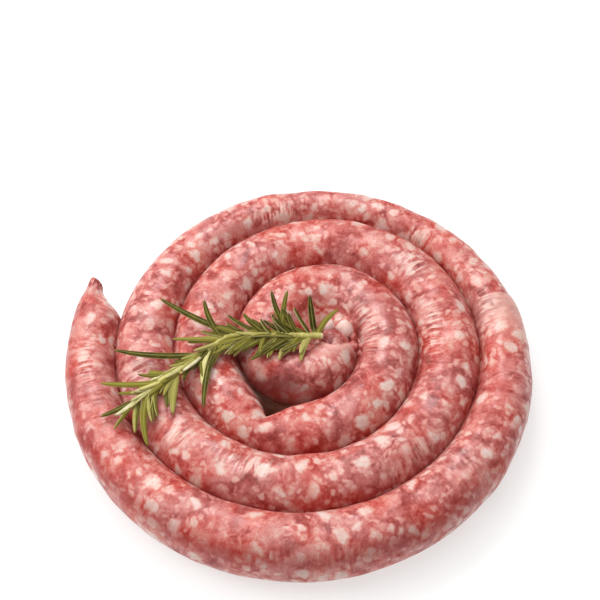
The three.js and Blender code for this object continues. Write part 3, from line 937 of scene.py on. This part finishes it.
# Moist casing over the mince: marbling, greyish film in patches, painted shade where turns press together, on
# the outer side of the outer turn, on the hook's side, in the fold's gap and in the tail's folds, fine
# wrinkles across the sausage with painted sheen on their ridges and painted shade in their hollows
def casingMaterial():
    made, tree, shader = newMaterial("moist casing")
    place = addNode(tree, "ShaderNodeTexCoord").outputs["Object"]
    uv = addNode(tree, "ShaderNodeUVMap", uv_map="skin").outputs["UV"]
    marks = useGroup(tree, marbling, Vector=place, Strand=uv)
    dull = ramp(noise(place, casing["saturationPatches"]), *casing["saturation"])
    inputs = {"Color": marks["Colour"], "Saturation": dull}
    colour = addNode(tree, "ShaderNodeHueSaturation", inputs).outputs["Color"]
    film = mathNode("MULTIPLY", attribute(tree, "film"), casing["filmShare"])
    rim = mathNode("MULTIPLY", attribute(tree, "rim"), casing["rimShare"])
    colour = mixColour(mathNode("MAXIMUM", film, rim), colour, casing["film"])
    lines = vectorNode("MULTIPLY", uv, casing["wrinkleScale"])
    wrinkles = noise(lines, 1.0, distortion=casing["wrinkleBend"])
    wrinkled = attribute(tree, "wrinkled")
    # painted sheen on the wrinkles' ridges and painted shade in their hollows
    for ranges, tint in ((casing["ridges"], casing["paintedSheen"]), (casing["furrowShade"], casing["fold"])):
        share = mathNode("MULTIPLY", ramp(wrinkles, *ranges), wrinkled)
        colour = mixColour(share, colour, tint)
    colour = tintBy(colour, "lip", *casing["lip"])
    # painted shade where turns press together and on the outer side of the outer turn
    pressed = attribute(tree, "pressed")
    flankShade = mathNode("MULTIPLY", attribute(tree, "flankShade"), casing["flankShadeShare"])
    darker = mathNode("MULTIPLY", mathNode("MAXIMUM", pressed, flankShade), casing["pressedShadeShare"])
    colour = mixColour(darker, colour, casing["pressed"])
    # painted shade on the hook's side and dark painted shade on the walls of the fold's gap
    colour = tintBy(colour, "shade", *casing["shade"])
    colour = tintBy(colour, "deep", *casing["deep"])
    # painted shade in the tail's pleats
    colour = tintBy(colour, "gathered", casing["pleatShadeShare"], casing["fold"])
    height = mathNode("MULTIPLY", wrinkles, wrinkled)
    for label, share in (("Fat", casing["fatHeight"]), ("Grain", casing["grainHeight"])):
        height = mathNode("ADD", height, mathNode("MULTIPLY", marks[label], share))
    patchy = noise(place, casing["wetPatches"])
    groove = mathNode("MAXIMUM", pressed, attribute(tree, "deep"))
    gloss = ramp(patchy, *casing["roughness"])
    gloss = mathNode("ADD", gloss, mathNode("MULTIPLY", groove, casing["roughGroove"]))
    shine = mathNode("MULTIPLY", ramp(patchy, *casing["coat"]), ramp(groove, *casing["coatGroove"]))
    setInputs(shader, {
        "Base Color": colour,
        "Normal": bumpNormal(height, casing["bump"], meat["bumpHeight"]),
        "Roughness": gloss,
        "Coat Weight": shine,
        "Coat Roughness": casing["coatRoughness"],
        "Specular IOR Level": casing["specular"],
        "Subsurface Weight": casing["subsurface"],
        "Subsurface Radius": meat["spread"],
        "Subsurface Scale": 1.0,
    })
    return made


bareMince = {
    "lean": linear(164, 64, 57),
    "leanShare": (0.1, 0.4, 0.6, 0.0),
    "white": linear(236, 203, 193),
    "whiteShare": (0.5, 0.95, 0.0, 0.85),
    "bump": 0.6,
    "roughness": 0.4,
    "subsurface": 0.2,
}


# Bare mince: the same marbling, each lump paler or darker, wet and rough
def bareMinceMaterial():
    made, tree, shader = newMaterial("bare mince")
    place = addNode(tree, "ShaderNodeTexCoord").outputs["Object"]
    marks = useGroup(tree, marbling, Vector=place, Strand=place)
    pale = attribute(tree, "pale")
    colour = mixColour(ramp(pale, *bareMince["leanShare"]), marks["Colour"], bareMince["lean"])
    colour = mixColour(ramp(pale, *bareMince["whiteShare"]), colour, bareMince["white"])
    setInputs(shader, {
        "Base Color": colour,
        "Normal": bumpNormal(marks["Grain"], bareMince["bump"], meat["bumpHeight"]),
        "Roughness": bareMince["roughness"],
        "Subsurface Weight": bareMince["subsurface"],
        "Subsurface Radius": meat["spread"],
        "Subsurface Scale": 1.0,
    })
    return made


sausageSkin.data.materials.append(casingMaterial())
tornMince.data.materials.append(bareMinceMaterial())

# Rosemary: colours as the screen shows them, and ranges as for the meat
herb = {
    "deep": linear(40, 36, 0),
    "mid": linear(124, 116, 38),
    "light": linear(202, 194, 124),
    "young": linear(218, 210, 174),
    "under": linear(206, 197, 150),
    "tip": linear(150, 118, 70),
    "stem": linear(190, 182, 102),
    "bark": linear(152, 138, 66),
    "cutWood": linear(222, 204, 166),
    "slowMottle": (260.0, 3.0, 0.6),  # patches in a metre, detail and weight
    "fineMottle": (1500.0, 2.0, 0.4),
    # where a needle's tone starts and ends each colour after the deepest
    "steps": (("mid", 0.0, 0.5), ("light", 0.4, 0.72), ("young", 0.7, 0.9), ("under", 0.9, 1.0)),
    "mottleShare": (0.42, 0.62, 0.0, 0.3),
    # painted highlight along the rib, then pale edges, partly rolled underside and partly painted highlight
    "ribHighlightShare": (0.0, 0.28, 0.25, 0.0),
    "edgeAndHighlightShare": (0.8, 1.0, 0.0, 0.5),
    "rootShare": (0.0, 0.2, 0.6, 0.0),
    "tipShare": (0.93, 1.0, 0.0, 0.7),
    "leafBump": (0.35, 0.0002),  # strength and distance
    "leafRoughness": (0.3, 0.7, 0.45, 0.62),
    "leafSpecular": 0.08,
    "barkShare": (0.4, 0.62),
    "stemBump": (0.5, 0.0003),
    "stemRoughness": 0.62,
}


# Mottling shared by needles and stem: slow and fine noise as one value
def mottleGroup():
    tree, start, end = newGroup("leaf mottle", {"Vector": "Vector"}, {"Mottle": "Float"})
    parts = []
    for scale, detail, weight in (herb["slowMottle"], herb["fineMottle"]):
        parts.append(mathNode("MULTIPLY", noise(start.outputs["Vector"], scale, detail), weight))
    setInputs(end, {"Mottle": mathNode("ADD", *parts)})
    return tree


mottle = mottleGroup()


def mottleOf(tree):
    place = addNode(tree, "ShaderNodeTexCoord").outputs["Object"]
    return useGroup(tree, mottle, Vector=place)["Mottle"]


# Needle: its tone from dark to pale, a painted highlight along the rib, pale edges that are partly the rolled
# underside and partly painted highlight, pale underneath, the stem's colour at its root
def needleMaterial():
    made, tree, shader = newMaterial("rosemary leaf")
    value = mottleOf(tree)
    tone = attribute(tree, "tone")
    rib = mathNode("ABSOLUTE", attribute(tree, "across"))
    along = attribute(tree, "along")
    colour = herb["deep"]
    for name, low, high in herb["steps"]:
        colour = mixColour(ramp(tone, low, high), colour, herb[name])
    colour = mixColour(ramp(value, *herb["mottleShare"]), colour, herb["mid"])
    # painted highlight along the rib and on the edges
    colour = mixColour(ramp(rib, *herb["ribHighlightShare"]), colour, herb["light"])
    colour = mixColour(ramp(rib, *herb["edgeAndHighlightShare"]), colour, herb["light"])
    colour = mixColour(attribute(tree, "under"), colour, herb["under"])
    colour = mixColour(ramp(along, *herb["rootShare"]), colour, herb["stem"])
    colour = mixColour(ramp(along, *herb["tipShare"]), colour, herb["tip"])
    setInputs(shader, {
        "Base Color": colour,
        "Normal": bumpNormal(value, *herb["leafBump"]),
        "Roughness": ramp(value, *herb["leafRoughness"]),
        "Specular IOR Level": herb["leafSpecular"],
    })
    return made


# Stem: bark and green by the mottling, bare wood at the cut
def stemMaterial():
    made, tree, shader = newMaterial("rosemary stem")
    value = mottleOf(tree)
    colour = mixColour(ramp(value, *herb["barkShare"]), herb["bark"], herb["stem"])
    colour = mixColour(attribute(tree, "cut"), colour, herb["cutWood"])
    normal = bumpNormal(value, *herb["stemBump"])
    setInputs(shader, {"Base Color": colour, "Normal": normal, "Roughness": herb["stemRoughness"]})
    return made


needles.data.materials.append(needleMaterial())
stem.data.materials.append(stemMaterial())
print("materials:", len(bpy.data.materials))

# Studio: white floor, one broad light overhead, one at the left, a small one behind for the glints, pale room
studio = {
    "white": (1.0, 1.0, 1.0, 1.0),
    "floorSize": 12.0,
    "floorDrop": 0.0003,
    "floorColour": (0.42, 0.42, 0.415, 1.0),
    "floorGlow": 0.56,
    "floorRoughness": 0.6,
    "lights": {  # place, size and power
        "overhead": ((-0.3, 0.25, 1.1), 1.6, 12.4),
        "side": ((-0.9, 0.1, 0.55), 0.7, 4.0),
        "glint": ((-0.14, 0.7, 0.95), 0.4, 3.4),
    },
    "surround": 0.46,
}


def makeFloor():
    half, level = studio["floorSize"] / 2, -studio["floorDrop"]
    corners = [(-half, -half, level), (half, -half, level), (half, half, level), (-half, half, level)]
    mesh = bpy.data.meshes.new("floor")
    mesh.from_pydata(corners, [], [(0, 1, 2, 3)])
    made, _, shader = newMaterial("white table")
    setInputs(shader, {
        "Base Color": studio["floorColour"],
        "Emission Color": studio["white"],
        "Emission Strength": studio["floorGlow"],
        "Roughness": studio["floorRoughness"],
    })
    mesh.materials.append(made)
    floor = bpy.data.objects.new("floor", mesh)
    bpy.context.scene.collection.objects.link(floor)


def makeLight(name, place, size, power):
    lamp = bpy.data.lights.new(name, "AREA")
    lamp.shape = "DISK"
    lamp.size = size
    lamp.energy = power
    holder = bpy.data.objects.new(name, lamp)
    holder.location = place
    holder.rotation_euler = (-Vector(place)).to_track_quat("-Z", "Y").to_euler()
    bpy.context.scene.collection.objects.link(holder)


def makeSurround():
    world = bpy.data.worlds.new("pale room")
    world.use_nodes = True
    setInputs(world.node_tree.nodes["Background"], {"Color": studio["white"], "Strength": studio["surround"]})
    bpy.context.scene.world = world


makeFloor()
for lightName, lightSettings in studio["lights"].items():
    makeLight(lightName, *lightSettings)
makeSurround()
bpy.context.scene.view_settings.view_transform = "Standard"

# Camera: set back from the coil's middle at the photo's height, turned so that the middle lands at its pixel
view = {
    "distance": 650.0,
    "elevation": 55.966,
    "focalPixels": 1440.448,
    "framePixels": 600,
    "middlePixel": (311.867, 365.809),
    "sensorWidth": 36.0,
}


def makeCamera():
    rise = math.radians(view["elevation"])
    forward = Vector((0, math.cos(rise), -math.sin(rise)))
    upward = Vector((0, math.sin(rise), math.cos(rise)))
    offX = view["framePixels"] / 2 - view["middlePixel"][0]
    offY = view["middlePixel"][1] - view["framePixels"] / 2
    aim = forward * view["focalPixels"] + Vector((1, 0, 0)) * offX + upward * offY
    lens = bpy.data.cameras.new("camera")
    lens.sensor_width = view["sensorWidth"]
    lens.lens = view["sensorWidth"] * view["focalPixels"] / view["framePixels"]
    camera = bpy.data.objects.new("camera", lens)
    camera.location = Vector((*coil["middle"], 0)) * mm - forward * view["distance"] * mm
    camera.rotation_euler = aim.to_track_quat("-Z", "Y").to_euler()
    bpy.context.scene.collection.objects.link(camera)
    bpy.context.scene.camera = camera


makeCamera()
print("studio and camera ready")
